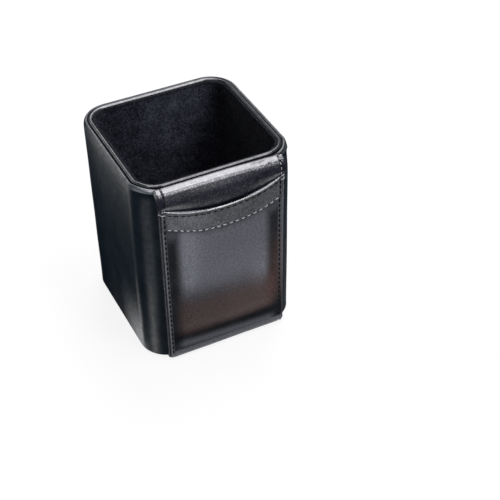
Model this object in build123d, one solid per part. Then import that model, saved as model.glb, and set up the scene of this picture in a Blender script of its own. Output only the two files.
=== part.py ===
"""Leather pen holder: a square cup with rounded corners, a felt lining and a padded front panel.

A board tube and floor carry an outer leather wrap, whose top edge is rolled in over the board.
A leather binding rises beside it, and a felt sleeve lines the inside. A leather panel runs up
the front, over a padded head and down into the groove of the rim. It carries a slip pocket with
a curved, bound mouth.

Units are millimetres. +Z is up, the front faces -Y, and the origin is the middle of the underside.
"""
import math
import os

from build123d import *

# Overall size of the cup body, without the pocket that stands out in front
cup_width = 80.0
cup_depth = 80.0
cup_height = 102.0
corner_radius = 14.5

# Board core
core_wall = 2.6
core_floor_thickness = 3.0
board_clearance = 0.1

# Outer leather wrap: its foot, its rolled top edge and the flap glued under the core
wrap_thickness = 1.2
wrap_foot_radius = 1.1
wrap_flap = 7.0
wrap_hem = 1.1
wrap_roll_rise = 0.9
wrap_roll_height = 3.4

# Leather binding that stands up inside the wrap's rolled edge
binding_thickness = 0.8
binding_rise = 1.4
binding_leg = 12.0
rim_groove = 0.25

# Felt lining and the cover under the base
felt_thickness = 1.1
felt_drop = 0.7
floor_felt_thickness = 1.5
felt_clearance = 0.15
base_cover_thickness = 0.8
base_cover_inset = 3.0

# Front panel with its stiffening card
panel_width = 62.8
panel_thickness = 1.3
panel_skived = 0.6
panel_flap = 9.0
panel_bend = 0.8
panel_clearance = 0.15
card_thickness = 0.5
card_margin = 0.8
card_low = 5.0
card_top_gap = 3.0

# Padded head of the panel, which rolls over the front of the rim
head_swell = 2.3
head_lift = 0.35
head_roll = 4.6
head_lip = 0.5
head_foot_lap = 1.5
head_notch = 8.0
head_sections = 13
head_flatness = 4.0

# Slip pocket: its leather, padding, lining, bound mouth and soft crown
pocket_margin = 1.3
pocket_thickness = 1.0
pocket_bend = 1.8
pocket_flap = 7.5
pocket_crown = 1.8
pocket_rise = 15.0
pocket_low = 5.5
pocket_seam_margin = 1.7
padding_thickness = 0.6
lining_thickness = 0.3
layer_step = 1.0
crown_sections = 6
crown_flatness = 0.75
crown_edge = 0.02
mouth_drop = 14.4
mouth_radius = 80.0
band_height = 12.0
band_thickness = 0.7
band_inner_leg = 4.0

# How far a cutting block reaches past what it cuts
reach = 1.0

# Levels, from the table up
wrap_bottom = base_cover_thickness
core_bottom = wrap_bottom + wrap_thickness
floor_top = core_bottom + core_floor_thickness
core_top = cup_height - binding_rise
mouth_level = cup_height - mouth_drop
panel_strip_top = mouth_level - head_foot_lap

# Insets from the outer face, from the wrap inwards
core_outer = wrap_thickness
core_inner = core_outer + core_wall
hem_inset = wrap_thickness + wrap_hem
binding_outer = hem_inset + rim_groove
binding_inner = core_inner + binding_thickness
lining_inner = binding_inner + felt_thickness

# Places along Y of the layers on the front
front_face = -cup_depth / 2
core_face = front_face + core_outer
panel_face = front_face - panel_thickness
pocket_face = panel_face - pocket_thickness
band_face = pocket_face - band_thickness
pocket_bottom = wrap_bottom
panel_bottom = core_bottom - panel_skived

# Widths on the front, from the panel inwards
pocket_width = panel_width - 2 * pocket_margin
seam_width = pocket_width - 2 * pocket_seam_margin


def slab(inset, low, high):
    """Plate with the cup's rounded outline, set in by inset, between two levels."""
    outline = RectangleRounded(cup_width - 2 * inset, cup_depth - 2 * inset, corner_radius - inset)
    return extrude(Pos(0, 0, low) * outline, high - low)


def swept_ring(*edges):
    """Sweep a section round the cup's outline. Its points are (inset from the outer face, level)."""
    path = RectangleRounded(cup_width, cup_depth, corner_radius).wire()
    section_plane = Plane(origin=path @ 0, x_dir=(1, 0, 0), z_dir=path % 0)
    return sweep(section_plane * make_face(Curve() + list(edges)), path=path)


def box_between(low, high):
    """Block between two opposite corners."""
    size = [b - a for a, b in zip(low, high)]
    centre = [(a + b) / 2 for a, b in zip(low, high)]
    return Pos(*centre) * Box(*size)


def core_tube():
    """Board tube with an open top and bottom."""
    return slab(core_outer, core_bottom, core_top) - slab(core_inner, core_bottom, core_top)


def core_floor():
    """Board floor, glued into the lower end of the tube."""
    return slab(core_inner + board_clearance, core_bottom, floor_top)


def plain_wrap():
    """Outer leather all round: flap under the core, wall, and top edge rolled over the board."""
    crest = (wrap_thickness, core_top + wrap_roll_rise)
    roll_start = (0, core_top - wrap_roll_height + wrap_roll_rise)
    inside = Polyline(
        (hem_inset, core_top),
        (wrap_thickness, core_top),
        (wrap_thickness, core_bottom),
        (wrap_flap, core_bottom),
        (wrap_flap, wrap_bottom),
        (wrap_foot_radius, wrap_bottom),
    )
    foot = RadiusArc((wrap_foot_radius, wrap_bottom), (0, wrap_bottom + wrap_foot_radius), wrap_foot_radius)
    wall = Line((0, wrap_bottom + wrap_foot_radius), roll_start)
    roll = EllipticalCenterArc(
        (crest[0], roll_start[1]), crest[0], crest[1] - roll_start[1], start_angle=90, arc_size=90
    )
    hem = EllipticalCenterArc((crest[0], core_top), wrap_hem, wrap_roll_rise, start_angle=0, arc_size=90)
    return swept_ring(inside, foot, wall, roll, hem)


def outer_wrap():
    """Wrap, cut away where the front panel's head and its flap take its place."""
    half = panel_width / 2 + panel_clearance
    top_notch = box_between(
        (-half, front_face - reach, core_top - head_notch),
        (half, front_face + hem_inset + rim_groove / 2, cup_height),
    )
    flap_notch = box_between(
        (-half, front_face - reach, 0),
        (half, front_face + panel_flap + panel_clearance, core_bottom),
    )
    return plain_wrap() - top_notch - flap_notch


def rim_binding():
    """Leather strip turned over the tube's inner edge, with a round crest beside the groove."""
    crest_radius = (binding_inner - binding_outer) / 2
    shoulder = cup_height - crest_radius
    legs = Polyline(
        (binding_outer, shoulder),
        (binding_outer, core_top),
        (core_inner, core_top),
        (core_inner, core_top - binding_leg),
        (binding_inner, core_top - binding_leg),
        (binding_inner, shoulder),
    )
    crest = ThreePointArc(
        (binding_inner, shoulder),
        (binding_outer + crest_radius, cup_height),
        (binding_outer, shoulder),
    )
    return swept_ring(legs, crest)


def lining_sleeve():
    """Felt sleeve, pressed thinner where it laps the binding, with a rounded top edge."""
    bead = felt_thickness / 2
    top = cup_height - felt_drop
    step = core_top - binding_leg
    sides = Polyline(
        (binding_inner, top - bead),
        (binding_inner, step),
        (core_inner, step),
        (core_inner, floor_top),
        (lining_inner, floor_top),
        (lining_inner, top - bead),
    )
    edge = ThreePointArc((lining_inner, top - bead), (lining_inner - bead, top), (binding_inner, top - bead))
    return swept_ring(sides, edge)


def lining_floor():
    """Felt pad that covers the floor inside the sleeve."""
    return slab(lining_inner + felt_clearance, floor_top, floor_top + floor_felt_thickness)


def base_cover():
    """Cover glued under the base, over the ends of the flaps."""
    return slab(base_cover_inset, 0, base_cover_thickness)


def front_block(width, face, bottom, bend):
    """Block behind a layer's front face, with the bend at its foot. Layers are cut from such blocks."""
    block = box_between((-width / 2, face, bottom), (width / 2, 0, cup_height))
    if bend > 0:
        foot = block.edges().filter_by(Axis.X).sort_by_distance((0, face, bottom))[0]
        block = fillet(foot, bend)
    return block


def turned_strip(outer, inner, flap):
    """Leather between two blocks: down the front, round the bend and under the base for its flap."""
    behind = box_between(
        (-cup_width, front_face + flap, -reach), (cup_width, cup_depth, cup_height + reach)
    )
    return outer - inner - behind


def mouth_height(x):
    """Level of the pocket's mouth at a distance x from its middle."""
    return mouth_level + mouth_radius - math.sqrt(mouth_radius**2 - x**2)


def mouth_disc(growth):
    """Disc whose lower edge is the mouth's arc, grown to give the arcs that run parallel to it."""
    centre = Pos(0, 0, mouth_level + mouth_radius)
    return centre * Rot(90, 0, 0) * Cylinder(mouth_radius + growth, 2 * cup_depth)


def head_fullness(x):
    """Share of the padding's full swell at a distance x from the panel's middle."""
    return 1 - abs(2 * x / panel_width) ** head_flatness


def head_section(x, inside):
    """Section of the panel's head at x: its outer skin, or the skin's inner face over the padding."""
    skin = panel_thickness if inside else 0.0
    groove = front_face + hem_inset
    low = panel_strip_top - head_foot_lap
    nose = (panel_face - head_swell * head_fullness(x) + skin, core_top - head_roll)
    tail = (panel_face + skin, mouth_height(x) + band_thickness)
    back = Polyline(tail, (tail[0], low), (groove, low), (groove, core_top))
    if inside:
        crest = (core_face, core_top)
        over = Line((groove, core_top), crest)
    else:
        crest = (front_face + head_lip, core_top + wrap_roll_rise + head_lift * head_fullness(x))
        over = EllipticalCenterArc(
            (crest[0], core_top), groove - crest[0], crest[1] - core_top, start_angle=0, arc_size=90
        )
    front = Spline(crest, nose, tangents=[(-1, 0), (0, -1)])
    fall = Spline(nose, tail, tangents=[(0, -1), (0, -1)])
    plane = Plane(origin=(x, 0, 0), x_dir=(0, 1, 0), z_dir=(1, 0, 0))
    return plane * make_face(Curve() + [back, over, front, fall])


def above_strip():
    """Space above the panel's plain strip, where its head begins."""
    return box_between(
        (-cup_width, -cup_depth, panel_strip_top), (cup_width, 0, cup_height + mouth_radius)
    )


def head_form(inside):
    """Padded roll at the top of the panel, lofted through sections across the front."""
    last = head_sections - 1
    places = [panel_width / 2 * math.sin(math.pi * (i / last - 0.5)) for i in range(head_sections)]
    return loft([head_section(x, inside) for x in places]) & above_strip()


def front_panel():
    """Panel leather: the strip up the front, turned round its card, and the skin of the padded head."""
    outer = front_block(panel_width, panel_face, panel_bottom, panel_bend)
    inner = front_block(panel_width + 2 * reach, front_face, core_bottom, 0)
    strip = turned_strip(outer, inner, panel_flap) - above_strip() - panel_card()
    return strip + (head_form(inside=False) - head_form(inside=True))


def panel_card():
    """Card that keeps the front panel flat behind its leather."""
    half = panel_width / 2 - card_margin
    return box_between(
        (-half, front_face - card_thickness, card_low),
        (half, front_face, panel_strip_top - card_top_gap),
    )


def panel_padding():
    """Foam under the panel's head, between its leather and the rim, inside the side seams."""
    between_seams = box_between((-seam_width / 2, -cup_depth, 0), (seam_width / 2, 0, cup_height))
    foam = head_form(inside=True) & between_seams
    return foam - outer_wrap() - slab(core_outer, core_bottom, core_top)


def crown_section(half, face, swell):
    """Flat-backed section of the pocket's crown. The curve reaches 3/4 of the way to its middle points."""
    side = half * crown_flatness
    front = face - swell * 4 / 3
    curve = Bezier((-half, face), (-side, front), (side, front), (half, face))
    return make_face(curve + Line((half, face), (-half, face)))


def crown(step, face, depth):
    """Soft swelling of the pocket in front of a face. Each step in is narrower and starts higher."""
    half = seam_width / 2 - step * layer_step
    low = pocket_low + step * layer_step
    foot = []
    for i in range(crown_sections + 1):
        share = i / crown_sections
        swell = depth * max(math.sin(math.pi / 2 * share) ** 2, crown_edge)
        foot.append(Pos(0, 0, low + pocket_rise * share) * crown_section(half, face, swell))
    body = extrude(foot[-1], cup_height - low - pocket_rise, dir=(0, 0, 1))
    return loft(foot) + body


def pocket_front():
    """Pocket leather: sewn down at both sides, crowned between them and turned under the base."""
    outer = front_block(pocket_width, pocket_face, pocket_bottom, pocket_bend)
    inner = front_block(panel_width, panel_face, panel_bottom, panel_bend)
    strip = turned_strip(outer, inner, pocket_flap)
    return strip + crown(0, pocket_face, pocket_crown) - crown(1, panel_face, pocket_crown) - mouth_disc(0)


def pocket_padding():
    """Thin foam that gives the pocket its crown."""
    inner_depth = pocket_crown - padding_thickness
    return crown(1, panel_face, pocket_crown) - crown(2, panel_face, inner_depth) - mouth_disc(0)


def lining_layer():
    """Layer next to the pocket's opening, shared by the lining and the band's inner leg."""
    outer_depth = pocket_crown - padding_thickness
    return crown(2, panel_face, outer_depth) - crown(3, panel_face, outer_depth - lining_thickness)


def pocket_lining():
    """Cloth inside the pocket, behind the padding, up to the band's inner leg."""
    return lining_layer() - mouth_disc(band_inner_leg)


def pocket_band():
    """Leather band bound over the pocket's mouth, wide outside and narrow inside."""
    outside = front_block(pocket_width, band_face, pocket_bottom, 0) + crown(0, band_face, pocket_crown)
    leather = front_block(pocket_width, pocket_face, pocket_bottom, 0) + crown(0, pocket_face, pocket_crown)
    behind = front_block(pocket_width, panel_face, pocket_bottom, 0)
    opening = crown(3, panel_face, pocket_crown - padding_thickness - lining_thickness)
    above_fold = mouth_disc(-band_thickness)
    outer_leg = (outside - leather) & (mouth_disc(band_height) - above_fold)
    fold = (outside - behind - opening) & (mouth_disc(0) - above_fold)
    inner_leg = lining_layer() & (mouth_disc(band_inner_leg) - mouth_disc(0))
    return outer_leg + fold + inner_leg


makers = {
    "core_tube": core_tube,
    "core_floor": core_floor,
    "outer_wrap": outer_wrap,
    "rim_binding": rim_binding,
    "lining_sleeve": lining_sleeve,
    "lining_floor": lining_floor,
    "base_cover": base_cover,
    "front_panel": front_panel,
    "panel_card": panel_card,
    "panel_padding": panel_padding,
    "pocket_front": pocket_front,
    "pocket_padding": pocket_padding,
    "pocket_lining": pocket_lining,
    "pocket_band": pocket_band,
}

os.makedirs("parts", exist_ok=True)
for name, maker in makers.items():
    solid = maker()
    print(name, solid.is_valid, round(solid.volume, 1), len(solid.solids()))
    export_step(solid, f"parts/{name}.step")
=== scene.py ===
import bisect
import math
import random

import bpy
from mathutils import Matrix, Vector, noise


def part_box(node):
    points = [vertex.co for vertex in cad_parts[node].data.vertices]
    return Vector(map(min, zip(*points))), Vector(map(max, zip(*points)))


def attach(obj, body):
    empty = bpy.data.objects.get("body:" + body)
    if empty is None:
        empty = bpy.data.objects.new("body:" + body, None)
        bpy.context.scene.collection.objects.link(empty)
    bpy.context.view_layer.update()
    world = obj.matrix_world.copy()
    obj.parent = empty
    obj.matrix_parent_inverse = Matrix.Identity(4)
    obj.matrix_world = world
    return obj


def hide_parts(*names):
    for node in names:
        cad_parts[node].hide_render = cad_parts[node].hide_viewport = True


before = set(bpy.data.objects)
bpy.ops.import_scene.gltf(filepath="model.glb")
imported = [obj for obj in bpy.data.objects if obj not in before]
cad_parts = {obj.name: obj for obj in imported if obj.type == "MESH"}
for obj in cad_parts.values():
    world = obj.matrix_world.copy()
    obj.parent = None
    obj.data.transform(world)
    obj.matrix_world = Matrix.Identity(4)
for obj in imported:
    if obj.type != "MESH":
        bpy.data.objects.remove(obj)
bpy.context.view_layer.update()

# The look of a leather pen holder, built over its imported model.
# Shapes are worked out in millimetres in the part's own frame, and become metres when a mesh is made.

MM = 0.001
sharp_angle = math.radians(40)


def box_mm(node):
    """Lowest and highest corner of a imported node, in millimetres."""
    low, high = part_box(node)
    return low / MM, high / MM


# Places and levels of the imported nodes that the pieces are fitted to
wrap_low, wrap_high = box_mm("outer_wrap")
core_low, core_high = box_mm("core_tube")
binding_high = box_mm("rim_binding")[1]
sleeve_low, sleeve_high = box_mm("lining_sleeve")
felt_low, felt_high = box_mm("lining_floor")
cover_low, cover_high = box_mm("base_cover")
panel_low, panel_high = box_mm("front_panel")
pocket_low, pocket_high = box_mm("pocket_front")
band_low = box_mm("pocket_band")[0]

half = wrap_high.x
base_level = wrap_low.z
core_top = core_high.z
rim_top = binding_high.z
front_face = -half

# Sizes of the leather, felt and board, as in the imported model
corner_radius = 14.5
wrap_wall = half - core_high.x
hem_width = 1.1
roll_height = 2.5
bead_radius = 1.8
foot_radius = 1.1
wrap_flap = 7.0
binding_leg = 12.0
binding_outer = half - binding_high.x
core_inner = half - sleeve_high.x
binding_inner = core_inner + 0.8
felt_wall = 1.1
pad_step = 2.0
pad_rings = 12
lining_inner = binding_inner + felt_wall
panel_wall = 1.3
pocket_wall = 1.0
band_wall = 0.7
band_height = 12.0
mouth_radius = 80.0
skived = 0.6

# Places of the front's layers along Y, and the side seams along X
panel_half = panel_high.x
panel_face = front_face - panel_wall
pocket_spread = 0.35
pocket_half = pocket_high.x + pocket_spread
pocket_face = panel_face - pocket_wall
mouth_level = band_low.z + band_height
groove = front_face + wrap_wall + hem_width
seam_x = 29.0
pocket_seams = (-29.5, 28.7)

# The panel's leather fills the groove, so the rim's binding and felt stand back and up behind it
rim_set_back = 1.3
rim_set_up = 0.3
front_groove = groove + rim_set_back

# Padded head of the panel, and its bend at the foot
head_swell = 2.3
head_forward = 1.3
head_lift = 1.1
head_roll = 4.6
head_notch = 8.0
head_crest = 1.1
head_steps = 26
foam_depth = 1.05
panel_bend = 0.8

# Soft crown of the pocket, and its bend at the foot
crown_half = 28.4
crown_depth = 1.8
crown_start = 5.5
crown_rise = 15.0
pocket_bend = 1.8
pocket_steps = 110

# Band's fold over the mouth, its upper stitches below the mouth, and its rounded edge
fold_half = 0.9
fold_rise = 0.8
upper_row = 2.0
band_edge = 0.35
band_steps = 48

# Gloss of the wrap: heights above the table, and degrees turned past a flat side's end
foot_gloss = 17.5
foot_line = 4.5
edge_turn = 7.5
streak_turn = 42.0

# Fine patterns, and the marks that the panel and the pocket carry
pore_size = 0.55
fuzz_depth = 0.12
leather_marks = ("painted_sheen", "tan", "polish")


def ramp(value, low, high):
    """Smooth change from 0 at low to 1 at high, whichever of the two is larger."""
    share = min(1.0, max(0.0, (value - low) / (high - low)))
    return share * share * (3 - 2 * share)


def bell(value, width):
    """Bump of height 1 at 0, which falls away over a width."""
    return math.exp(-((value / width) ** 2))


def rounding(distance, radius):
    """How far a surface falls at a distance from an edge rounded to a radius."""
    if distance >= radius:
        return 0.0
    return radius - math.sqrt(max(0.0, radius**2 - (radius - distance) ** 2))


def arc(centre, radii, start, end, steps):
    """Points on an ellipse's arc, in (across, level) pairs, with angles in degrees."""
    points = []
    for i in range(steps + 1):
        angle = math.radians(start + (end - start) * i / steps)
        points.append((centre[0] + radii[0] * math.cos(angle), centre[1] + radii[1] * math.sin(angle)))
    return points


def between(start, end, step):
    """Evenly spaced points from start to end, both of them (across, level) pairs."""
    count = max(1, round(math.dist(start, end) / step))
    return [tuple(a + (b - a) * i / count for a, b in zip(start, end)) for i in range(count + 1)]


def place_object(name, data):
    """New object in the scene."""
    made = bpy.data.objects.new(name, data)
    bpy.context.scene.collection.objects.link(made)
    return made


def make_piece(name, points, faces, material, marks=None):
    """Piece of the cup from points in millimetres, with marks of its points by name."""
    mesh = bpy.data.meshes.new(name)
    mesh.from_pydata(points, [], faces)
    for mark, values in (marks or {}).items():
        mesh.attributes.new(mark, "FLOAT", "POINT").data.foreach_set("value", values)
    mesh.transform(Matrix.Scale(MM, 4))
    mesh.validate()
    mesh.shade_smooth()
    mesh.set_sharp_from_angle(angle=sharp_angle)
    mesh.materials.append(material)
    made = place_object(name, mesh)
    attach(made, "root")
    return made


def grid_faces(rows, columns, first=0, ring=False, flip=False):
    """Quads of a grid of points, stored row after row from index first."""
    faces = []
    for r in range(rows - 1):
        for c in range(columns if ring else columns - 1):
            a = first + r * columns + c
            b = first + r * columns + (c + 1) % columns
            face = (a, b, b + columns, a + columns)
            faces.append(face[::-1] if flip else face)
    return faces


def solid_sheet(name, outer, inner, material, marks=None):
    """Closed sheet between two grids of points with the same rows and columns."""
    rows, columns = len(outer), len(outer[0])
    size = rows * columns
    points = [p for row in outer + inner for p in row]
    faces = grid_faces(rows, columns) + grid_faces(rows, columns, first=size, flip=True)
    grid = [range(r * columns, (r + 1) * columns) for r in range(rows)]
    border = [*grid[0], *(row[-1] for row in grid[1:])]
    border += [*grid[-1][-2::-1], *(row[0] for row in grid[-2:0:-1])]
    for a, b in zip(border, border[1:] + border[:1]):
        faces.append((b, a, a + size, b + size))
    marks = {mark: 2 * [v for row in values for v in row] for mark, values in (marks or {}).items()}
    return make_piece(name, points, faces, material, marks)


def stations(step):
    """Places round the cup's outer face, each with the way out of it."""
    flat = half - corner_radius
    flat_steps = round(2 * flat / step)
    turn_steps = round(math.pi / 2 * corner_radius / step)
    found = []
    for quarter in range(4):
        turn = Matrix.Rotation(quarter * math.pi / 2, 2)
        for i in range(flat_steps):
            place = turn @ Vector((-flat + 2 * flat * i / flat_steps, -half))
            found.append((place, turn @ Vector((0.0, -1.0))))
        for i in range(turn_steps):
            angle = math.pi / 2 * i / turn_steps
            out = Vector((math.sin(angle), -math.cos(angle)))
            found.append((turn @ (Vector((flat, -flat)) + corner_radius * out), turn @ out))
    return found


def ring(name, profile, step, material, slot, shape, marks):
    """Section of (inset from the outer face, level) carried round the cup."""
    places = stations(step)
    told = []
    for inset, level in profile:
        for place, out in places:
            told.append((Vector((*(place - out * inset), level)), out, inset))
    points = [shape(*facts) for facts in told]
    faces = grid_faces(len(profile) + 1, len(places), ring=True)
    faces = [tuple(index % len(points) for index in face) for face in faces]
    marks = {mark: [rule(*facts) for facts in told] for mark, rule in marks.items()}
    return make_piece(name, points, faces, material, marks)


def round_cup(point, out):
    """Place on one side, from -1 to 1 along its flat, and degrees turned past its end."""
    turned = math.degrees(math.atan2(out.x, -out.y)) % 360
    quarter = int(turned // 90)
    along = Matrix.Rotation(quarter * math.pi / 2, 2) @ Vector((1.0, 0.0))
    return along.dot(point.xy) / (half - corner_radius), turned - 90 * quarter


def waviness(point, size, depth):
    """Slow unevenness of hand-glued leather at a point."""
    return depth * noise.noise(point / size)


# Materials

def set_inputs(tree, node, inputs):
    """Give a node its inputs: numbers, colours or outputs."""
    for key, value in inputs.items():
        socket = node.inputs[key]
        if isinstance(value, bpy.types.NodeSocket):
            tree.links.new(value, socket)
        else:
            socket.default_value = (*value, 1.0) if socket.type == "RGBA" else value


def add_node(tree, kind, inputs=None, **settings):
    """Shader node with its settings and inputs."""
    made = tree.nodes.new("ShaderNode" + kind)
    for key, value in settings.items():
        setattr(made, key, value)
    set_inputs(tree, made, inputs or {})
    return made


def empty_material(name):
    """Material without nodes, and its node tree."""
    material = bpy.data.materials.new(name)
    material.use_nodes = True
    material.node_tree.nodes.clear()
    return material, material.node_tree


def start_material(name):
    """Material, its tree, its shader and its coordinates in millimetres."""
    material, tree = empty_material(name)
    shader = add_node(tree, "BsdfPrincipled")
    add_node(tree, "OutputMaterial", {"Surface": shader.outputs["BSDF"]})
    place = add_node(tree, "TexCoord").outputs["Object"]
    scaled = add_node(tree, "VectorMath", {0: place, 1: (1 / MM,) * 3}, operation="MULTIPLY")
    return material, tree, shader, scaled.outputs["Vector"]


def noise_node(tree, place, size, detail=3.0, roughness=0.55):
    """Noise whose patches have a size in millimetres."""
    inputs = {"Vector": place, "Scale": 1 / size, "Detail": detail, "Roughness": roughness}
    return add_node(tree, "TexNoise", inputs).outputs["Fac"]


def math_node(tree, operation, *values):
    """Result of an operation on numbers or outputs."""
    return add_node(tree, "Math", dict(enumerate(values)), operation=operation).outputs[0]


def map_range(tree, value, low, high, to_low=0.0, to_high=1.0):
    """Value mapped from one range to another, kept within it."""
    inputs = {"Value": value, "From Min": low, "From Max": high, "To Min": to_low, "To Max": to_high}
    return add_node(tree, "MapRange", inputs).outputs["Result"]


def mix_colours(tree, share, first, second, blend="MIX"):
    """Two colours mixed by a share."""
    inputs = {0: share, 6: first, 7: second}
    return add_node(tree, "Mix", inputs, data_type="RGBA", blend_type=blend).outputs[2]


def mark_value(tree, mark):
    """Value of a mark stored on the mesh."""
    return add_node(tree, "Attribute", attribute_name=mark).outputs["Fac"]


def bump_chain(tree, layers):
    """Bumps added on top of one another. Each layer is (height, depth in millimetres)."""
    normal = None
    for height, depth in layers:
        inputs = {"Height": height, "Distance": depth * MM, "Strength": 1.0}
        if normal is not None:
            inputs["Normal"] = normal
        normal = add_node(tree, "Bump", inputs).outputs["Normal"]
    return normal


def two_tones(tree, patches, low, high, tone, fleck, marks=()):
    """Two colours mixed by noise, and over them the colour of each (mark, colour)."""
    base = mix_colours(tree, map_range(tree, patches, low, high), tone, fleck)
    for mark, tint in marks:
        base = mix_colours(tree, mark_value(tree, mark), base, tint)
    return base


def shaded(tree, base, share):
    """Colour made lighter or darker by a share."""
    grey = add_node(tree, "CombineColor", dict.fromkeys(("Red", "Green", "Blue"), share))
    return mix_colours(tree, 1.0, base, grey.outputs["Color"], "MULTIPLY")


def leather(
    name, tone, wear_and_highlight, coat_ior, coat_roughness, grain=0.014, speckle=0.0, fine=0.2, uneven=0.3, marks=()
):
    """Smooth leather, as glossy as its polish mark says.

    Grain is the depth of its pores, speckle their shine where it isn't polished, fine the change of
    colour from pore to pore, and uneven the change of gloss in patches.
    """
    material, tree, shader, place = start_material(name)
    base = two_tones(tree, noise_node(tree, place, size=9.0), 0.35, 0.7, tone, wear_and_highlight, marks)
    mottle = noise_node(tree, place, size=0.8, detail=4.0)
    rubbed = noise_node(tree, place, size=4.0)
    pores = add_node(tree, "TexVoronoi", {"Vector": place, "Scale": 1 / pore_size, "Randomness": 1.0})
    folds = noise_node(tree, place, size=0.35, detail=2.0)
    slack = noise_node(tree, place, size=6.0, detail=2.0)
    layers = [(slack, grain * 5), (pores.outputs["Distance"], grain), (folds, grain * 0.7)]
    normal = bump_chain(tree, layers)
    touched = noise_node(tree, place, size=2.5, detail=4.0)
    handled = map_range(tree, touched, 0.3, 0.7, 1 - uneven, 1 + uneven / 2)
    raised = map_range(tree, noise_node(tree, place, size=0.6, detail=1.0), 0.5, 0.7, 0.0, speckle)
    polish = mark_value(tree, "polish")
    matt = math_node(tree, "SUBTRACT", 1.0, polish)
    shine = math_node(tree, "MULTIPLY_ADD", raised, matt, handled)
    set_inputs(tree, shader, {
        "Base Color": shaded(tree, base, map_range(tree, mottle, 0.3, 0.7, 1 - fine, 1 + fine)),
        "Roughness": map_range(tree, rubbed, 0.3, 0.7, 0.42, 0.56),
        "Normal": normal,
        "Specular IOR Level": 0.0,
        "Coat Weight": math_node(tree, "MULTIPLY", polish, shine),
        "Coat Normal": normal,
        "Coat IOR": coat_ior,
        "Coat Roughness": coat_roughness,
    })
    return material


def felt(name, tone, fleck, marks=()):
    """Dark felt with a mottled nap."""
    material, tree, shader, place = start_material(name)
    patches = noise_node(tree, place, size=4.0, detail=6.0, roughness=0.72)
    fibres = noise_node(tree, place, size=1.0, detail=4.0, roughness=0.75)
    base = two_tones(tree, patches, 0.36, 0.68, tone, fleck, marks)
    set_inputs(tree, shader, {
        "Base Color": shaded(tree, base, map_range(tree, fibres, 0.36, 0.66, 0.3, 1.9)),
        "Normal": bump_chain(tree, [(patches, fuzz_depth), (fibres, fuzz_depth)]),
        "Roughness": 0.95,
        "Specular IOR Level": 0.0,
        "Sheen Weight": 0.02,
        "Sheen Roughness": 0.5,
    })
    return material


def plain_fibre(name, tone, fleck, size, depth, roughness, specular=0.5):
    """Board, foam, cloth or thread: rough, with fibres of a size and a depth."""
    material, tree, shader, place = start_material(name)
    fibres = noise_node(tree, place, size, detail=4.0, roughness=0.65)
    set_inputs(tree, shader, {
        "Base Color": two_tones(tree, fibres, 0.35, 0.7, tone, fleck),
        "Normal": bump_chain(tree, [(fibres, depth)]),
        "Roughness": roughness,
        "Specular IOR Level": specular,
    })
    return material


black = (0.005, 0.006, 0.008)
black_worn = (0.012, 0.013, 0.016)
# The wrap's light grey mark is a painted highlight on its front beads and a painted reflection near its
# corners' feet.
wrap_leather = leather(
    "wrap_leather_look", (0.003, 0.007, 0.011), (0.007, 0.013, 0.019),
    coat_ior=2.4, coat_roughness=0.3, marks=[("painted_wrap_sheen", (0.128, 0.148, 0.172))],
)
binding_leather = leather("binding_leather_look", black, black_worn, coat_ior=2.1, coat_roughness=0.22)
# Grey mark: painted sheen and painted reflection on the panel and pocket, with painted shade under the
# band. Brown mark: tan.
sheen_and_tan = [("painted_sheen", (0.150, 0.155, 0.172)), ("tan", (0.090, 0.051, 0.042))]
panel_leather = leather(
    "panel_leather_look", (0.006, 0.007, 0.013), (0.012, 0.013, 0.023),
    coat_ior=2.4, coat_roughness=0.29, grain=0.01, speckle=3.0, uneven=0.2, marks=sheen_and_tan,
)
pocket_leather = leather(
    "pocket_leather_look", black, black_worn, coat_ior=1.8, coat_roughness=0.35, grain=0.02, speckle=1.5,
    fine=0.32, marks=sheen_and_tan,
)
# The band's dark mark is painted shade, and its light grey mark is a painted highlight along the fold.
band_leather = leather(
    "band_leather_look", (0.074, 0.076, 0.084), (0.135, 0.139, 0.152),
    coat_ior=2.7, coat_roughness=0.2, grain=0.02, speckle=4.0, fine=0.6, uneven=0.15,
    marks=[("painted_band_shade", (0.012, 0.013, 0.015)), ("wear_and_highlight", (0.270, 0.275, 0.290))],
)
# The felt's light mark is painted light on its back wall. Its dark mark is painted shade on its top edge
# and right wall.
lining_felt = felt(
    "lining_felt_look", (0.020, 0.021, 0.029), (0.049, 0.052, 0.067),
    marks=[("painted_felt_light", (0.122, 0.132, 0.174)), ("painted_felt_shade", (0.016, 0.017, 0.020))],
)
base_felt = felt("base_felt_look", (0.010, 0.010, 0.012), (0.020, 0.020, 0.023))
lining_cloth = plain_fibre("lining_cloth_look", (0.01, 0.01, 0.012), (0.02, 0.02, 0.024), 0.5, 0.04, 0.8)
foam = plain_fibre("foam_look", (0.35, 0.33, 0.28), (0.45, 0.43, 0.38), 0.7, 0.15, 0.9)
board = plain_fibre("board_look", (0.012, 0.012, 0.013), (0.022, 0.022, 0.024), 1.4, 0.05, 0.85)
thread = plain_fibre(
    "thread_look", (0.002, 0.002, 0.003), (0.010, 0.010, 0.012), 0.25, 0.03, 0.6, specular=0.05
)
# Thread painted light grey: painted highlights that stand in for the glints on dark thread.
painted_glint_thread = plain_fibre("painted_glint_thread_look", (0.22, 0.22, 0.23), (0.60, 0.60, 0.64), 0.3, 0.03, 0.5)
# Near-black lenses are painted shade for the needle holes.
needle_hole_shade = plain_fibre("needle_hole_shade_look", (0.001, 0.001, 0.001), (0.004, 0.004, 0.004), 0.3, 0.03, 0.9)


# Cup body

def rim_bead(point):
    """How far the wrap's edge stands out as a bead, at the two front corners."""
    return ramp(-point.y, 27, 35)


def corner_gather(point, out):
    """How the rim draws in and up at the front corners, pulled tight."""
    turned = ramp(-2 * out.y * abs(out.x), 0, 1)
    near_top = ramp(point.z, core_top - 14, core_top - 1)
    return turned * near_top * Vector((-0.85 * out.x, -0.85 * out.y, 0.35))


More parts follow.
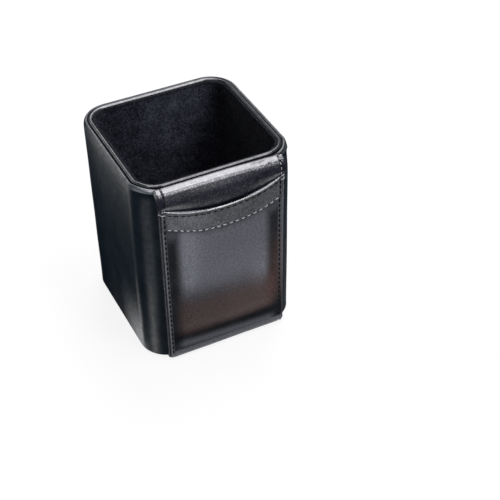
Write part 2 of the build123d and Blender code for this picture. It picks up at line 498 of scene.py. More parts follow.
def wrap_shape(point, out, inset):
    """Leather of the wrap: slightly uneven, and pushed down under the panel's head."""
    if inset < wrap_wall and point.z > base_level + foot_radius:
        offset = waviness(point, 22.0, 0.12) - 0.06
        rise = (point.z - core_top + roll_height) / (wrap_high.z - core_top + roll_height)
        if rise > 0.02:
            share = rim_bead(point)
            proud = bead_radius * math.sqrt(max(0.0, 1 - rise**2)) - (wrap_wall - inset)
            level = wrap_high.z - bead_radius * (1 - rise)
            offset += share * proud
            point = Vector((point.x, point.y, point.z + share * (level - point.z)))
        point = point + Vector((out.x, out.y, 0)) * offset
    if inset <= wrap_wall + hem_width:
        point = point + corner_gather(point, out)
    notch = core_top - head_notch
    if point.y < groove + 0.12 and point.z > notch:
        covered = ramp(panel_half - abs(point.x), -0.2, 1.5)
        point.z = notch + (point.z - notch) * (1 - 0.98 * covered)
    return point


def wrap_polish(point, out, inset):
    """Gloss of the wrap: under its rim, near its corners' feet, and in streaks down its corners."""
    along, turned = round_cup(point, out)
    at_back = ramp(out.y, 0.2, 0.8)
    if inset >= wrap_wall:
        return 0.6 * (1 - 0.65 * at_back) if point.z > core_top - 0.1 else 0.05
    below = rim_top - 1.0 - point.z
    above = point.z - base_level
    beside_panel = ramp(point.x, 25, 30) * ramp(-point.y, 25, 30)

    rim = 0.45 * (1 - 0.5 * at_back) * math.exp(-below / 2.2) + 0.25 * math.exp(-below / 17)
    foot = (0.05 + 1.05 * ramp(along, 0, 1)) * bell(above, foot_gloss)
    foot *= 1 - 0.9 * ramp(-along, 0, 0.8)
    on_flat = (0.014 + rim + foot) * (1 - 0.6 * ramp(-along, 0.3, 1.1))

    streak = bell(turned - streak_turn, 7) * (0.22 + 0.65 * ramp(above, 70, 5))
    streak += bell(turned - streak_turn - 10, 6) * (0.22 - 0.12 * ramp(above, 45, 15))
    in_corner = 0.03 + streak * (1 - 0.75 * beside_panel)
    lit_foot = 0.25 * foot * bell(turned - 28, 14) + 0.9 * bell(above, foot_line) * ramp(turned, 32, 10)
    in_corner += lit_foot * (1 - beside_panel)
    past_corner = (0.06 + 0.10 * ramp(turned, 62, 80)) * (1 - 0.5 * beside_panel)
    past = ramp(turned, 55, 62)
    cornered = ramp(turned, 3, 19)
    level = on_flat * (1 - cornered) + (in_corner * (1 - past) + past_corner * past) * cornered
    level *= 0.8 - 0.28 * cornered

    edge_line = 0.06 + 0.42 * ramp(above, 55, 18) + 0.2 * ramp(above, 18, 4)
    edge_line += 0.08 * ramp(above, 70, 90)
    edge_line *= ramp(along, 0.7, 1) * (1 - 0.8 * beside_panel)
    wide = bell(above - 22, 8)
    level += edge_line * bell(turned - edge_turn - wide, 4.5 + 1.5 * wide)

    level *= 1 - 0.85 * rim_bead(point) * ramp(point.z, core_top - 6, core_top - 3.5)
    bead = rim_bead(point) * ramp(point.z, core_top - 1.8, core_top - 0.7) * (1 - 0.7 * beside_panel)
    return min(1.0, level * (1 - bead) + bead)


def painted_wrap_sheen_mark(point, out, inset):
    """Where the wrap is painted light grey: a painted highlight on its front beads, and a painted
    reflection beside its corners' feet.
    """
    along, turned = round_cup(point, out)
    above = point.z - base_level
    near_corner = ramp(along, 0.6, 1.05) * ramp(turned, 14 + 16 * bell(above, foot_line), 2)
    bead = rim_bead(point) * ramp(point.z, core_top - 1.4, core_top - 0.6) * ramp(-point.x, 0, 9)
    return max(0.72 * near_corner * ramp(above, 27, 0), 0.4 * bead)


def wrap_profile():
    """Section of the wrap: foot, wall, rolled edge, then back inside and along its flap."""
    bottom = wrap_low.z
    roll_start = core_top - roll_height
    crest = wrap_high.z
    points = arc((foot_radius, bottom + foot_radius), (foot_radius, foot_radius), 270, 180, 6)
    points += between((0.0, bottom + foot_radius), (0.0, roll_start), 3.0)[1:]
    points += arc((wrap_wall, roll_start), (wrap_wall, crest - roll_start), 180, 90, 12)[1:]
    points += arc((wrap_wall, core_top), (hem_width, crest - core_top), 90, 0, 8)[1:]
    points += [(wrap_wall, core_top - 0.05), (wrap_wall, core_low.z)]
    points += [(wrap_flap, core_low.z), (wrap_flap, bottom)]
    return points


def make_wrap():
    marks = {"painted_wrap_sheen": painted_wrap_sheen_mark, "polish": wrap_polish}
    made = ring("wrap_skin", wrap_profile(), 1.2, wrap_leather, "wrap_leather", wrap_shape, marks)
    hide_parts("outer_wrap")


def set_back(point, out):
    """How the rim's inner layers move behind the panel's leather."""
    across = ramp(panel_half + 2.5 - abs(point.x), 0, 3.5)
    facing = ramp(-out.y, 0.3, 0.9)
    near_top = ramp(point.z, core_top - binding_leg - 6, core_top - 4)
    behind_panel = across * facing * near_top * Vector((0.0, rim_set_back, rim_set_up))
    return behind_panel + (1 - across * facing) * corner_gather(point, out)


def make_binding():
    """Binding ridge beside the groove, gathered a little unevenly by hand."""
    radius = (binding_inner - binding_outer) / 2
    shoulder = rim_top - radius
    middle = binding_outer + radius
    points = [(binding_outer, core_top), (binding_outer, shoulder - 0.1)]
    points += arc((middle, shoulder), (radius, radius), 180, 0, 14)
    points += between((binding_inner, shoulder - 0.3), (binding_inner, core_top - binding_leg), 3.0)
    points += [(core_inner, core_top - binding_leg), (core_inner, core_top)]

    def uneven(point, out, inset):
        rise = (waviness(point, 14, 0.12) - 0.05) * ramp(point.z, core_top, rim_top)
        return point + set_back(point, out) + Vector((0, 0, rise))

    def polish(point, out, inset):
        side = 0.5 + 0.4 * ramp(out.y, 0.3, 0.9) - 0.25 * ramp(out.x, 0.3, 0.9)
        side += 0.3 * ramp(-out.x, 0.1, 0.6) * ramp(-out.y, 0.1, 0.6)
        return 0.08 + side * ramp(point.z, core_top + 0.5, core_top + 1.1)

    marks = {"polish": polish}
    made = ring("binding_ridge", points, 1.0, binding_leather, "binding_leather", uneven, marks)
    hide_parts("rim_binding")


def make_lining():
    """Felt sleeve with a soft nap and a rounded thin top edge."""
    bead = felt_wall / 2
    top = sleeve_high.z
    foot = sleeve_low.z
    leg_end = core_top - binding_leg
    points = [(binding_inner, top - bead), (binding_inner, leg_end)]
    points += [(core_inner, leg_end), (core_inner, foot)]
    points += between((lining_inner, foot), (lining_inner, top - bead), 1.4)
    points += arc((lining_inner - bead, top - bead), (bead, bead), 0, 180, 8)[1:-1]

    def nap(point, out, inset):
        moved = point + set_back(point, out)
        if inset < binding_inner + 0.3 or point.z < foot + 1:
            return moved
        depth = waviness(point, 3.0, 0.22) + waviness(point, 11.0, 0.25)
        return moved - Vector((out.x, out.y, 0)) * depth

    def painted_felt_light(point, out, inset):
        """Painted light at the back of the felt, lighter higher up and towards its right."""
        across = bell(point.x - 10, 18) * ramp(out.y, 0.5, 0.95)
        return 0.55 * across * ramp(point.z, 58, 90) * (0.7 + noise.noise(point / 9))

    def painted_felt_shade(point, out, inset):
        """Painted shade on the felt's top edge and on its right wall."""
        return max(0.9 * ramp(point.z, top - 1.6, top - 0.4), 0.8 * ramp(out.x, 0.3, 0.9))

    marks = {"painted_felt_light": painted_felt_light, "painted_felt_shade": painted_felt_shade}
    made = ring("felt_sleeve", points, 1.3, lining_felt, "felt", nap, marks)
    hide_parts("lining_sleeve")


def rounded_plate(name, low, high, edge, material, swell=0.0):
    """Flat pad with the cup's rounded outline, soft edges and a slight swell."""
    outline = half - high.x
    loops = [(outline + edge, low.z), (outline, low.z + edge), (outline, high.z - edge)]
    loops += arc((outline + edge, high.z - edge), (-edge, edge), 30, 90, 2)
    places = stations(pad_step)
    points = []
    for across, level in loops:
        points += [(p.x - o.x * across, p.y - o.y * across, level) for p, o in places]
    rim = [(p.x - o.x * (outline + edge), p.y - o.y * (outline + edge)) for p, o in places]
    for i in range(1, pad_rings):
        share = 1 - i / pad_rings
        bulge = swell * (1 - share**3)
        for x, y in rim:
            spot = Vector((x * share, y * share, high.z + bulge))
            points.append(spot + Vector((0, 0, waviness(spot, 8.0, swell))))
    rows = len(loops) + pad_rings - 1
    faces = grid_faces(rows, len(places), ring=True)
    faces.append(tuple((rows - 1) * len(places) + c for c in range(len(places))))
    faces.append(tuple(reversed(range(len(places)))))
    return make_piece(name, points, faces, material)


def make_pads():
    """Felt pads glued to the core's floor, inside and below."""
    made = rounded_plate("felt_floor", felt_low, felt_high, 0.5, lining_felt, swell=0.12)
    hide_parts("lining_floor")
    made = rounded_plate("base_pad", cover_low, cover_high, 0.2, base_felt)
    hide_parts("base_cover")


# Front panel

def columns_across(half_width, coarse, fine):
    """Places across the front: fine near its seams and edges, coarse between them."""
    inner = seam_x - 2.5
    outer = half_width - 0.4
    count = round(2 * inner / coarse)
    steps = round((outer - inner) / fine)
    middle = [-inner + 2 * inner * i / count for i in range(count + 1)]
    side = [inner + (outer - inner) * i / steps for i in range(1, steps + 1)]
    side += [half_width - d for d in (0.25, 0.13, 0.05, 0.0)]
    return [-x for x in reversed(side)] + middle + side


def mouth_at(x, below=0.0):
    """Level of the arc that runs a distance below the pocket's mouth."""
    return mouth_level + mouth_radius - math.sqrt((mouth_radius + below) ** 2 - x**2)


def lower_row(x):
    """Distance of the band's lower stitches below the mouth: they draw up towards its ends."""
    return 11.35 - 1.65 * ramp(x, -8, -28) - 0.6 * ramp(x, 14, 28)


def band_cut(x):
    """Distance of the band's lower edge below the mouth."""
    return lower_row(x) + 0.7


def head_fullness(x):
    """Swell of the head at x: full between the seams, pinched at each, and a knob outside."""
    across = min(1.0, abs(x) / panel_half)
    body = math.sqrt(max(0.0, 1 - across**140))
    return body * (1 - 0.07 * bell(abs(x) - seam_x, 0.3))


def turned_under(flap_end, face, under, bend, thickness, flap_step, steps):
    """Path of ((y, z), thickness) from the leather's skived flap, round a bend, to its face."""
    path = [(p, skived) for p in between((flap_end, under), (face + bend, under), flap_step)]
    turn = arc((face + bend, under + bend), (bend, bend), 270, 180, steps)[1:]
    return path + [(p, skived + (thickness - skived) * i / steps) for i, p in enumerate(turn, start=1)]


def head_path(x):
    """Path of the panel's leather at x, from its flap's end up the face and over to the groove."""
    full = head_fullness(x)
    foot = panel_low.z + panel_bend
    nose_y = panel_face - head_swell * full
    nose_z = core_top - head_roll
    crest_y = front_face + head_crest
    lift = head_lift * (1 - 0.7 * ramp(x, 0, 28))
    crest_z = wrap_high.z + lift * full - 0.5 * (1 - full)
    mouth = mouth_at(x)
    start = mouth - 5.2
    path = turned_under(panel_high.y, panel_face, panel_low.z, panel_bend, panel_wall, 2.5, 5)
    path += [(p, panel_wall) for p in between((panel_face, foot), (panel_face, start), 4.0)[1:]]
    for i in range(1, head_steps + 1):
        level = start + (nose_z - start) * i / head_steps
        near = head_forward * full * ramp(level, mouth - 4.5, mouth)
        swell = near + (head_swell * full - near) * ramp(level, mouth - 1, nose_z)
        path.append(((panel_face - swell, level), panel_wall))
    over = (crest_y - nose_y, crest_z - nose_z)
    path += [(p, 1.0) for p in arc((crest_y, nose_z), over, 180, 90, 16)[1:]]
    back = (front_groove - crest_y, crest_z - core_top)
    path += [(p, 0.8) for p in arc((crest_y, core_top), back, 90, 0, 8)[1:]]
    return path


def neighbours(places):
    """Places before and after each one in a line, or itself at an end."""
    return zip(places[:1] + places, places[1:] + places[-1:])


def path_normals(path):
    """Directions out of a line of (y, z) points that runs up the front."""
    normals = []
    for before, after in neighbours(path):
        along = Vector((after[0] - before[0], after[1] - before[1])).normalized()
        normals.append(Vector((-along.y, along.x)))
    return normals


def leather_column(x, path, fall, spread=None):
    """Outer and inner points of leather at x along a path of ((y, z), thickness), and the ways out.

    Fall is how far its face is pressed in, and spread(y, z) how far it moves across.
    """
    normals = path_normals([p for p, _ in path])
    outer, inner = [], []
    for ((y, z), thickness), normal in zip(path, normals):
        across = x + (spread(y, z) if spread else 0.0)
        outer.append(Vector((across, y - normal.x * fall, z - normal.y * fall)))
        inner.append(Vector((across, y - normal.x * thickness, z - normal.y * thickness)))
    return outer, inner, normals


def panel_column(x):
    """Outer points, inner points and marks of the panel at x."""
    path = head_path(x)
    pressed = 0.22 * bell(abs(x) - seam_x, 0.25) + rounding(panel_half - abs(x), 0.4)
    ear = math.copysign((0.4 if x > 0 else 0.9) * ramp(abs(x), seam_x, panel_half), x)

    def spread(y, z):
        return ear * ramp(z, core_top - 8, core_top - 4) * ramp(-y, -front_groove, 39)

    outer, inner, normals = leather_column(x, path, pressed, spread)
    marks = [(*margin_marks(x, z), panel_polish(x, z, out)) for ((_, z), _), out in zip(path, normals)]
    return outer, inner, marks


def margin_marks(x, z):
    """Painted sheen in grey on the panel's side margins, and the brown of the right one."""
    outside = ramp(abs(x), 30, 30.5) * ramp(mouth_at(x) + 1 - z, 0, 2)
    right = ramp(z, 12, 48) if x > 0 else 0.2
    return 0.55 * outside * right, (0.25 * outside * ramp(z, 66, 50) if x > 0 else 0)


def panel_polish(x, z, normal):
    """Gloss of the panel: high over its crest, low on its face, a line along its edges."""
    tilt = math.degrees(math.atan2(-normal.x, normal.y))
    above = z - mouth_at(x)
    if above < 0:
        return 0.03 + 0.15 * ramp(panel_half - abs(x), 0.35, 0.1)
    sooner = tilt + 8 * ramp(x, 5, 24)
    crest = 1 - 0.8 * ramp(sooner, 30, 57) - 0.15 * ramp(sooner, 56, 85)
    crest += 0.2 * bell(x + 5, 12) * bell(tilt - 62, 14)
    crest *= 1 - 0.95 * ramp(-tilt, 5, 30)
    crinkled = noise.noise(Vector((x / 3.0, tilt / 22.0, 0.0)))
    crest *= 1 - 0.6 * ramp(crinkled, 0, 0.3) * ramp(x, 11, 18)
    slack = 0.3 - 0.22 * ramp(x, -4, 6)
    low = 0.07 + 0.45 * bell(above - 2.1, 1.7) * (slack + 0.7 * ramp(abs(x), 10, 25))
    low *= ramp(above, 0.5, 1.8)
    lower_half = ramp(z, core_top - head_roll, core_top - head_roll - 1)
    knob = ramp(abs(x), seam_x - 0.3, seam_x + 0.3)
    knob *= 1 if x > 0 else ramp(tilt, 50, 65)
    return min(1.0, crest * (1 - lower_half) + low * lower_half) * (1 - 0.6 * knob)


def by_rows(columns):
    """Columns of points turned into rows."""
    return [list(row) for row in zip(*columns)]


def front_sheet(name, columns, mark_names, material):
    """Closed sheet from columns of (outer points, inner points, marks)."""
    outer, inner, told = (by_rows(part) for part in zip(*columns))
    marks = {mark: [[facts[i] for facts in row] for row in told] for i, mark in enumerate(mark_names)}
    return solid_sheet(name, outer, inner, material, marks)


def make_panel():
    columns = [panel_column(x) for x in columns_across(panel_half, 0.9, 0.2)]
    made = front_sheet("panel_skin", columns, leather_marks, panel_leather)
    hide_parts("front_panel")


def make_panel_padding():
    """Foam under the panel's head, between its leather and the rim."""
    outer, inner = [], []
    for i in range(25):
        x = crown_half * math.sin(math.pi * (i / 24 - 0.5))
        line = [p for p, _ in head_path(x)]
        skin, back = [], []
        for (y, z), normal in zip(line, path_normals(line)):
            if z < mouth_at(x) + 1.5 or y > front_face + 0.4:
                continue
            spot = Vector((x, y - normal.x * foam_depth, min(z - normal.y * foam_depth, core_top + 0.2)))
            wall = front_face - 0.05
            if spot.z > core_top - head_notch:
                wall += wrap_wall
            skin.append(spot)
            back.append(Vector((x, max(wall, spot.y + 0.05), min(spot.z, core_top - 0.1))))
        outer.append(skin)
        inner.append(back)
    least = min(len(column) for column in outer)
    outer, inner = (by_rows([column[-least:] for column in part]) for part in (outer, inner))
    made = solid_sheet("head_foam", outer, inner, foam)
    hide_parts("panel_padding")


# Slip pocket

def crown_at(x, z):
    """How far the pocket swells out at a place on its front."""
    across = max(0.0, 1 - (abs(x) / crown_half) ** 3.6)
    up = math.sin(math.pi / 2 * min(1.0, max(0.0, (z - crown_start) / crown_rise))) ** 2
    held = 1 - 0.4 * bell(z - (mouth_level - 9), 9)
    return crown_depth * across * up * held


def pocket_y(x, z):
    """Front of the pocket's leather at a place, pressed in along its side seams."""
    pressed = 0.28 * max(bell(x - seam, 0.5) for seam in pocket_seams)
    return pocket_face - crown_at(x, z) + pressed + waviness(Vector((x, 0, z)), 17.0, 0.1)


def pocket_marks(x, z):
    """Painted sheen in grey on the pocket's middle, foot and edges, painted shade under the band, its tan
    lower part and right side, and its gloss.
    """
    under_band = mouth_at(x, band_cut(x)) - z
    from_edge = pocket_half - abs(x)
    dark_level = 7.4 - 0.05 * x

    # Painted sheen in the middle, a painted reflection on the foot strip and a painted highlight along the
    # edges.
    middle = ramp((24.8 if x > 0 else 26.3) - abs(x), 0, 6) * ramp(z - 0.07 * max(0, -x), 14.2, 20.8)
    middle *= 0.88 - 0.63 * ramp(z, 50, 29) + 0.26 * bell(z - 18.8, 4)
    sides = 1 + 0.6 * bell(x + 20, 5) * ramp(z, 38, 54)
    sides += (0.72 * ramp(x, 8, 20) + 0.006 * x) * bell(z - 37, 9)
    sides -= 0.13 * ramp(x, -13, -3) * ramp(z, 50, 66)
    sides -= 0.3 * ramp(x, 6, -6) * ramp(z, 44, 34) * ramp(z, 15, 22)
    foot = max(0.66 * bell(z - dark_level, 2.6) * ramp(27.5 - abs(x), 0, 5), 0.9 * ramp(z, 6.2, 4.6))
    below = 0.38 * ramp(under_band, 9, 2) * ramp(from_edge, 0.8, 2)
    rim = 0.62 * ramp(from_edge, 1.8, 1.3)
    if x > 0:
        rim = 0.55 * ramp(from_edge, 3.4, 1.8) * ramp(z, 12, 48)
    # Painted shade under the band's lower edge.
    shadow = 1 - 0.3 * bell(under_band, 2.2) - 0.4 * bell(under_band, 0.6)
    painted_sheen = 0.84 * shadow * max(middle * sides + foot, below, rim)

    lower = ramp(z, 46, 26) * ramp(z, 12.5, 18) * (1 - 0.16 * ramp(x, 4, -8))
    right = ramp(x, 18, 27.5) * ramp(z, 66, 46) * ramp(z, 14, 28)
    tan = 0.57 * lower * ramp(28.3 - abs(x), 0, 6) + 0.4 * right

    edge = (0.7 if x < 0 else 0.3) * ramp(from_edge, 0.6, 0.2)
    face = 0.08 - 0.06 * bell(z - dark_level - 6, 3.5)
    polish = max(face, edge, 0.8 * ramp(z, base_level + 3, base_level + 1.2))
    return min(1.0, painted_sheen), min(1.0, tan), polish


def make_pocket():
    """Pocket leather from its flap under the base up to the mouth."""
    start = pocket_low.z + pocket_bend
    columns = []
    for x in columns_across(pocket_half, 0.8, 0.22):
        face = pocket_y(x, start)
        path = turned_under(pocket_high.y, face, pocket_low.z, pocket_bend, pocket_wall, 2.0, 8)
        top = mouth_at(x) - 1.0
        for i in range(1, pocket_steps + 1):
            z = start + (top - start) * i / pocket_steps
            path.append(((pocket_y(x, z), z), pocket_wall - 0.3 * ramp(top - z, 2, 0)))
        outer, inner, _ = leather_column(x, path, rounding(pocket_half - abs(x), 0.6))
        columns.append((outer, inner, [pocket_marks(x, z) for (_, z), _ in path]))
    made = front_sheet("pocket_skin", columns, leather_marks, pocket_leather)
    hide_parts("pocket_front")


def pocket_layer(name, material, reach, depth, thickness, gap):
    """Layer inside the pocket, to a reach at each side and a gap below its mouth, and its heights."""
    bottom = 7.0
    outer, inner = [], []
    for i in range(41):
        x = reach * (2 * i / 40 - 1)
        room = max(0.06, min(1.0, (crown_half - abs(x)) / 3))
        skin, back = [], []
        for j in range(61):
            z = bottom + (mouth_at(x) - gap - bottom) * j / 60
            y = min(pocket_face - crown_at(x, z) * 0.98 + depth, panel_face - 0.12 - thickness * 0.2)
            skin.append(Vector((x, y, z)))
            back.append(Vector((x, min(y + thickness * room, panel_face - 0.02), z)))
        outer.append(skin)
        inner.append(back)
    heights = [column[-1].z - column[0].z for column in outer]
    return solid_sheet(name, by_rows(outer), by_rows(inner), material), heights


def make_pocket_inside():
    """Foam that gives the pocket its crown, and the cloth behind it."""
    made, _ = pocket_layer("pocket_foam", foam, 27.3, depth=1.05, thickness=0.5, gap=2.2)
    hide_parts("pocket_padding")
    reach = 26.3
    made, heights = pocket_layer(
        "pocket_cloth", lining_cloth, reach, depth=1.62, thickness=0.25, gap=4.2
    )
    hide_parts("pocket_lining")


# Band bound over the pocket's mouth

def band_y(x, below):
    """Front of the band at a distance below the mouth, pressed in along its rows of stitches."""
    pressed = 0.16 * (bell(below - upper_row, 0.5) + bell(below - lower_row(x), 0.5))
    pressed += rounding(band_cut(x) - below, band_edge)
    return pocket_y(x, mouth_at(x, below)) - band_wall + pressed


def band_marks(x, z, top):
    """Painted shade on the band (along its fold, below the fold, under its lower stitches, darker towards
    its right and at its ends), a painted highlight along its fold, and its gloss.
    """
    fold = ramp(z, top - 0.85 * fold_rise, top - 0.5 * fold_rise)
    darker = max(0.14 + 0.44 * ramp(x, -26, 6), 0.8 * ramp(x, -27.4, -28.8), 0.75 * bell(x - 29.6, 1))
    row = mouth_at(x, lower_row(x))
    painted_band_shade = max(fold, darker, 0.9 * bell(top - z - 1.1, 0.45), 0.85 * bell(z - row + 0.2, 0.55))
    edge = 0.25 * ramp(pocket_half - abs(x), 0.45, 0.15)
    return painted_band_shade, fold * ramp(abs(x), 8, 17), max(0.08, edge, fold)


def make_band():
    """Band from its lower edge up over the mouth's fold and down behind the pocket's leather."""
    columns = []
    for x in columns_across(pocket_half, 0.8, 0.22):
        fall = rounding(pocket_half - abs(x), band_edge)
        start = band_cut(x)
        distances = [start - d for d in (0.0, 0.06, 0.16, band_edge)]
        run = start - band_edge - fold_rise
        distances += [start - band_edge - run * i / band_steps for i in range(1, band_steps + 1)]
        line = [(band_y(x, d) + fall, mouth_at(x, d)) for d in distances]
        top = mouth_at(x) - 0.1 + 0.2 * ramp(x, -3, -20)
        middle = (line[-1][0] + fold_half, top - fold_rise)
        line += arc(middle, (fold_half - fall * 0.5, fold_rise - fall), 180, 0, 14)[1:]
        leg_y = min(line[-1][0], panel_face - 0.3)
        line += [(leg_y, mouth_at(x, fold_rise + d)) for d in (0.8, 1.8, 3.0)]
        outer, inner, _ = leather_column(x, [(p, 0.4) for p in line], 0.0)
        columns.append((outer, inner, [band_marks(x, z, top) for _, z in line]))
    made = front_sheet("band_skin", columns, ("painted_band_shade", "wear_and_highlight", "polish"), band_leather)
    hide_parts("pocket_band")


# Stitching: length, pitch and the thread's radius

long_stitch = (2.3, 3.2, 0.19)
edge_stitch = (2.0, 3.1, 0.25)
side_stitch = (1.8, 3.0, 0.36)
head_stitch = (1.5, 2.4, 0.22)
tack_radius = 0.24
thread_sides = 8
draw = random.Random(7)


def thread_ring(centre, across, up):
    """Points round an oval with two half axes."""
    angles = [2 * math.pi * k / thread_sides for k in range(thread_sides)]
    return [centre + across * math.cos(a) + up * math.sin(a) for a in angles]


def add_thread(points, faces, path):
    """Closed thread along a path of (centre, way along, way out, radius)."""
    first = len(points)
    for centre, along, out, radius in path:
        side = along.cross(out).normalized()
        points += thread_ring(centre, side * (1.15 * radius), out * radius)
    faces += grid_faces(len(path), thread_sides, first=first, ring=True)
    faces.append(tuple(reversed(range(first, first + thread_sides))))
    faces.append(tuple(range(len(points) - thread_sides, len(points))))


def add_hole(points, faces, spot, along, out, reach):
    """Dark lens of painted shade where the needle went through the leather."""
    side = along.cross(out).normalized()
    top = len(points)
    points.append(spot + out * 0.15)
    points += thread_ring(spot - out * 0.08, along * reach, side * (0.75 * reach))
    points.append(spot - out * 0.3)
    bottom = len(points) - 1
    for k in range(thread_sides):
        a, b = top + 1 + k, top + 1 + (k + 1) % thread_sides
        faces += [(top, b, a), (bottom, a, b)]


def measured_line(surface, start, end):
    """Length of a line on a surface, and a rule for the place, way along and way out at a distance."""
    last = 600
    samples = [surface(start + (end - start) * i / last) for i in range(last + 1)]
    lengths = [0.0]
    for (a, _), (b, _) in zip(samples, samples[1:]):
        lengths.append(lengths[-1] + (b - a).length)

    def at(distance):
        index = min(last, bisect.bisect_left(lengths, distance))
        ahead, _ = samples[min(last, index + 2)]
        behind, _ = samples[max(0, index - 2)]
        spot, out = samples[index]
        return spot, (ahead - behind).normalized(), out
    return lengths[-1], at


def stitch_row(name, surface, start, end, material, size):
    """Row of stitches along a surface, where surface(s) gives a place and the way out."""
    length, pitch, radius = size
    total, at = measured_line(surface, start, end)
    count = max(1, int((total - length) / pitch) + 1)
    first_middle = (total - (count - 1) * pitch) / 2
    points, threads, holes = [], [], []
    for n in range(count):
        middle = first_middle + n * pitch
        lean = draw.uniform(-0.12, 0.12)
        path = []
        for quarter in range(-4, 5):
            t = quarter / 4
            spot, along, out = at(middle + t * length / 2)
            centre = spot + out * (0.14 - 0.42 * abs(t) ** 5) + along.cross(out) * (lean * t)
            path.append((centre, along, out, radius * (1 - 0.35 * abs(t) ** 4)))
        add_thread(points, threads, path)
        for end_side in (-1, 1):
            add_hole(points, holes, *at(middle + end_side * (length / 2 + 0.1)), (pitch - length) / 2)
    stitched(name, points, threads, holes, material)


def stitched(name, points, threads, holes, material):
    """Piece of threads and needle holes, whose dark lenses are painted shade."""
    mesh = make_piece(name, points, threads + holes, material).data
    mesh.materials.append(needle_hole_shade)
    for polygon in mesh.polygons[len(threads):]:
        polygon.material_index = 1


def bar_tack(name, side):
    """Two turns of thread that hold the corner of the pocket's mouth."""
    points, threads = [], []
    for below in (0.1 if side > 0 else -0.9, 2.5):
        level = mouth_at(pocket_half) - below
        front = band_y(side * pocket_half, below + 0.5) - 0.1
        stops = [(seam_x + 0.1, front + 0.25), (seam_x + 0.5, front), (pocket_half - 0.1, front)]
        stops += [(pocket_half + 0.3, front + 0.7), (panel_half - 0.3, panel_face - 0.25)]
        stops += [(panel_half + 0.1, panel_face + 0.2)]
        places = [Vector((side * x, y, level)) for x, y in stops]
        path = []
        for place, (before, after) in zip(places, neighbours(places)):
            along = (after - before).normalized()
            path.append((place, along, along.cross(Vector((0, 0, -side))).normalized(), tack_radius))
        add_thread(points, threads, path)
    stitched(name, points, threads, [], painted_glint_thread)


def band_point(x, below):
    """Place on the band's front at a distance below the mouth."""
    return Vector((x, band_y(x, below), mouth_at(x, below)))


def surface_from(place):
    """Surface from place(s, shift), with its way out from places a little apart."""
    def at(s):
        here = place(s, 0.0)
        along = place(s + 0.002, 0.0) - here
        side = place(s, 0.05) - here
        out = along.cross(side).normalized()
        return here, -out if out.y > 0.3 else out
    return at


def head_seam(x):
    """Line up the panel's head, over its nose to the groove."""
    outer, _, _ = panel_column(x)
    normals = path_normals([(p.y, p.z) for p in outer])
    kept = [(p, Vector((0, n.x, n.y))) for p, n in zip(outer, normals) if p.z > mouth_at(x) + 0.6]

    def at(s):
        place = s * (len(kept) - 1)
        index = min(len(kept) - 2, int(place))
        share = place - index
        (a, n), (b, m) = kept[index], kept[index + 1]
        return a.lerp(b, share), n.lerp(m, share).normalized()
    return at


def make_stitches():
    """Two rows along the band, then each side's seams and bar tack."""
    left, right = pocket_seams
    rows = [("upper", lambda x: upper_row, thread, long_stitch)]
    rows += [("lower", lower_row, painted_glint_thread, edge_stitch)]
    for name, row, material, size in rows:
        surface = surface_from(lambda x, shift: band_point(x, row(x) + shift))
        stitch_row(f"stitches_band_{name}", surface, left + 0.9, right - 0.9, material, size)
    sides = [("left", -1, left, 0.6, thread), ("right", 1, right, 0.9, painted_glint_thread)]
    for name, side, x, last, head_thread in sides:
        cut = band_cut(x)
        foot = mouth_at(x, cut)
        up_pocket = surface_from(lambda z, shift: Vector((x + shift, pocket_y(x + shift, z), z)))
        up_band = surface_from(lambda below, shift: band_point(x + shift, below))
        stitch_row(f"stitches_pocket_{name}", up_pocket, 4.0, foot - 0.3, thread, side_stitch)
        stitch_row(f"stitches_band_{name}", up_band, cut - 0.6, 1.2, thread, side_stitch)
        stitch_row(f"stitches_head_{name}", head_seam(side * seam_x), 0.0, last, head_thread, head_stitch)
        bar_tack(f"stitches_tack_{name}", side)


def dress_board():
    """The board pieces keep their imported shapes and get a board's surface."""
    for name in ("core_tube", "core_floor", "panel_card"):
        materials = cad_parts[name].data.materials
        materials.clear()
        materials.append(board)


# Floor, light and camera

floor_white = 0.85
floor_reach = 12.0
room_light = 0.14
lamp_colour = (0.965, 0.955, 1.0)

# Lamps: the way to each from the object, its strength, and its width in degrees
lamps = {
    "back_light": ((0.338, 0.687, 0.644), 0.9, 30),
    "overhead_light": ((0.338, 0.273, 0.901), 1.0, 28),
    "middle_light": ((0.338, -0.214, 0.917), 1.0, 26),
    "front_light": ((0.338, -0.66, 0.67), 0.66, 20),
    "corner_light": ((-0.14, -0.10, 0.985), 0.9, 31),
    "left_light": ((-0.55, 0.69, 0.47), 0.35, 30),
}


def make_floor():
    """Pale floor. The camera and reflections see it mostly white, with the object's shadow kept."""
    material, tree = empty_material("floor_look")
    lit = add_node(tree, "BsdfDiffuse", {"Color": (0.93, 0.93, 0.93)})
    white = add_node(tree, "Emission", {"Color": (1.0, 1.0, 1.0), "Strength": 1.0})
    rays = add_node(tree, "LightPath").outputs
    seen = math_node(tree, "MAXIMUM", rays["Is Camera Ray"], rays["Is Glossy Ray"])
    seen = math_node(tree, "MAXIMUM", seen, rays["Is Transmission Ray"])
    share = math_node(tree, "MULTIPLY", seen, floor_white)
    mixed = add_node(tree, "MixShader", {0: share, 1: lit.outputs[0], 2: white.outputs[0]})
    add_node(tree, "OutputMaterial", {"Surface": mixed.outputs[0]})
    mesh = bpy.data.meshes.new("floor")
    corners = [(x * floor_reach, y * floor_reach, 0) for x, y in ((-1, -1), (1, -1), (1, 1), (-1, 1))]
    mesh.from_pydata(corners, [], [(0, 1, 2, 3)])
    mesh.materials.append(material)
    place_object("floor", mesh)


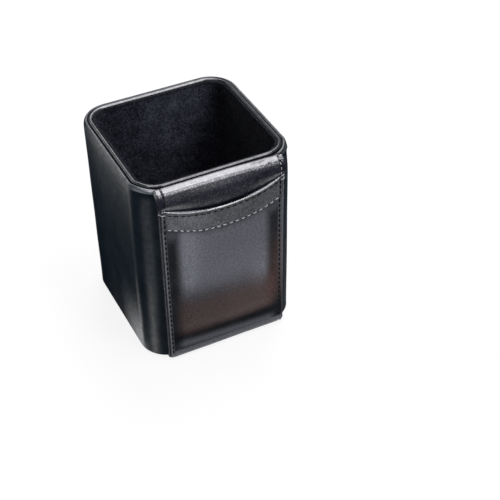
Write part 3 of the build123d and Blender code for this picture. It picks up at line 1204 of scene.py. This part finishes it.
def make_light():
    """Soft lamps far away, in a strip overhead and at the left, and the room."""
    for name, (towards, strength, width) in lamps.items():
        lamp = bpy.data.lights.new(name, "SUN")
        lamp.color = lamp_colour
        lamp.energy = strength
        lamp.angle = math.radians(width)
        placed = place_object(name, lamp)
        placed.rotation_mode = "QUATERNION"
        placed.rotation_quaternion = Vector(towards).to_track_quat("Z", "Y")
    bpy.context.scene.world = studio_room()


def studio_room():
    """Dim room whose backdrop is white to the camera, and low down also to reflections."""
    world = bpy.data.worlds.new("studio")
    world.use_nodes = True
    tree = world.node_tree
    rays = add_node(tree, "LightPath").outputs
    way = add_node(tree, "SeparateXYZ", {0: add_node(tree, "TexCoord").outputs["Generated"]})
    low = map_range(tree, way.outputs["Z"], 0.55, 0.2)
    mirrored = math_node(tree, "MULTIPLY", rays["Is Glossy Ray"], low)
    seen = math_node(tree, "MAXIMUM", rays["Is Camera Ray"], rays["Is Transmission Ray"])
    seen = math_node(tree, "MAXIMUM", seen, mirrored)
    set_inputs(tree, tree.nodes["Background"], {
        "Color": mix_colours(tree, seen, (0.92, 0.95, 1.0), (1.0, 1.0, 1.0)),
        "Strength": map_range(tree, seen, 0.0, 1.0, room_light, 1.0),
    })
    return world


# Camera: place in millimetres, angles in degrees
camera_place = Vector((-173.42, -420.54, 409.17))
camera_azimuth = -26.22
camera_elevation = 40.07
camera_roll = -0.81
camera_lens = 83.53


def make_camera():
    """Camera of the photograph, turned by its azimuth, elevation and roll."""
    data = bpy.data.cameras.new("camera")
    data.lens = camera_lens
    data.sensor_width = 36.0
    data.clip_start = 0.01
    data.clip_end = 50.0
    placed = Matrix.Translation(camera_place * MM)
    for angle, axis in ((camera_azimuth, "Z"), (90 - camera_elevation, "X"), (camera_roll, "Z")):
        placed = placed @ Matrix.Rotation(math.radians(angle), 4, axis)
    camera = place_object("camera", data)
    camera.matrix_world = placed
    bpy.context.scene.camera = camera


make_wrap()
make_binding()
make_lining()
make_pads()
make_panel()
make_panel_padding()
make_pocket()
make_pocket_inside()
make_band()
make_stitches()
dress_board()
make_floor()
make_light()
make_camera()
bpy.context.scene.view_settings.view_transform = "Standard"
